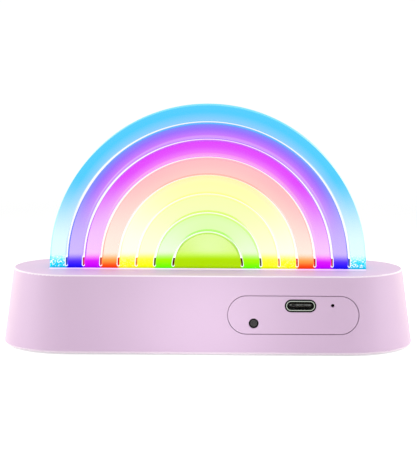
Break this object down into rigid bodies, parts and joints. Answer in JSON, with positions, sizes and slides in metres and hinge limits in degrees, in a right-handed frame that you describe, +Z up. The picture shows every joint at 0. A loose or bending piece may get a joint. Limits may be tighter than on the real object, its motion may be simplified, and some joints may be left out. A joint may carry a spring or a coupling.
{
  "type": "rainbow night light",
  "caption": "Small table night light: an edge-lit clear rainbow sheet with arched slots in a lilac base with round ends, a charging socket and a push button.",
  "frame": {"origin": "under the middle of the base, on the plane that the rubber feet stand on", "axes": "+X along the base, to the right as the port side is looked at; +Y away from the port side; +Z up"},
  "size_m": [0.1276, 0.0428, 0.0754],
  "materials": {
    "lilac_shell": "moulded ABS, fine satin texture",
    "lilac_panel": "moulded ABS, fine satin texture",
    "lilac_cover": "moulded ABS, fine spark texture",
    "screw_steel": "zinc plated",
    "foot_rubber": "moulded silicone rubber",
    "clear_acrylic": "polished cast acrylic, lit from its foot",
    "stop_smoke": "dark tinted acrylic",
    "white_abs": "moulded white ABS",
    "board_white": "white solder mask",
    "lamp_white": "moulded white package",
    "lamp_resin": "clear resin",
    "wire_white": "vinyl insulation",
    "wire_red": "vinyl insulation",
    "wire_black": "vinyl insulation",
    "board_green": "green solder mask",
    "chip_black": "moulded epoxy",
    "component_grey": "ferrite and ceramic",
    "port_steel": "nickel plated, drawn",
    "port_black": "moulded black liquid-crystal polymer",
    "contact_gold": "gold flash",
    "button_black": "moulded ABS, dull dish in a glossy rim",
    "capsule_aluminium": "drawn can",
    "felt_black": "pressed felt",
    "cell_foil": "embossed pouch foil",
    "foam_white": "foam with adhesive on both sides",
    "connector_white": "moulded nylon"
  },
  "bodies": {
    "lamp": {"base_shell": "lilac_shell", "port_panel": "lilac_panel", "bottom_cover": "lilac_cover", "cover_screws": "screw_steel", "rubber_feet": "foot_rubber", "rainbow_plate": "clear_acrylic", "slot_stops": "stop_smoke", "light_holder": "white_abs", "holder_screws": "screw_steel", "light_divider": "white_abs", "led_strip_board": "board_white", "led_packages": "lamp_white", "led_lenses": "lamp_resin", "led_wires": "wire_white", "main_board": "board_green", "board_screws": "screw_steel", "control_chips": "chip_black", "board_components": "component_grey", "usb_shell": "port_steel", "usb_tongue": "port_black", "usb_contacts": "contact_gold", "port_sleeve": "port_black", "switch_body": "port_black", "switch_dome": "port_steel", "microphone": "capsule_aluminium", "mic_felt": "felt_black", "battery": "cell_foil", "battery_pad": "foam_white", "battery_socket": "connector_white", "battery_plug": "connector_white", "battery_lead_positive": "wire_red", "battery_lead_negative": "wire_black"},
    "button": {"button_cap": "button_black", "switch_plunger": "port_black"}
  },
  "joints": [
    {"name": "button_press", "type": "slide", "parent": "lamp", "child": "button", "axis": [0, 1, 0], "range_m": [0, 0.00025], "stiffness_N_per_m": 6400}
  ]
}
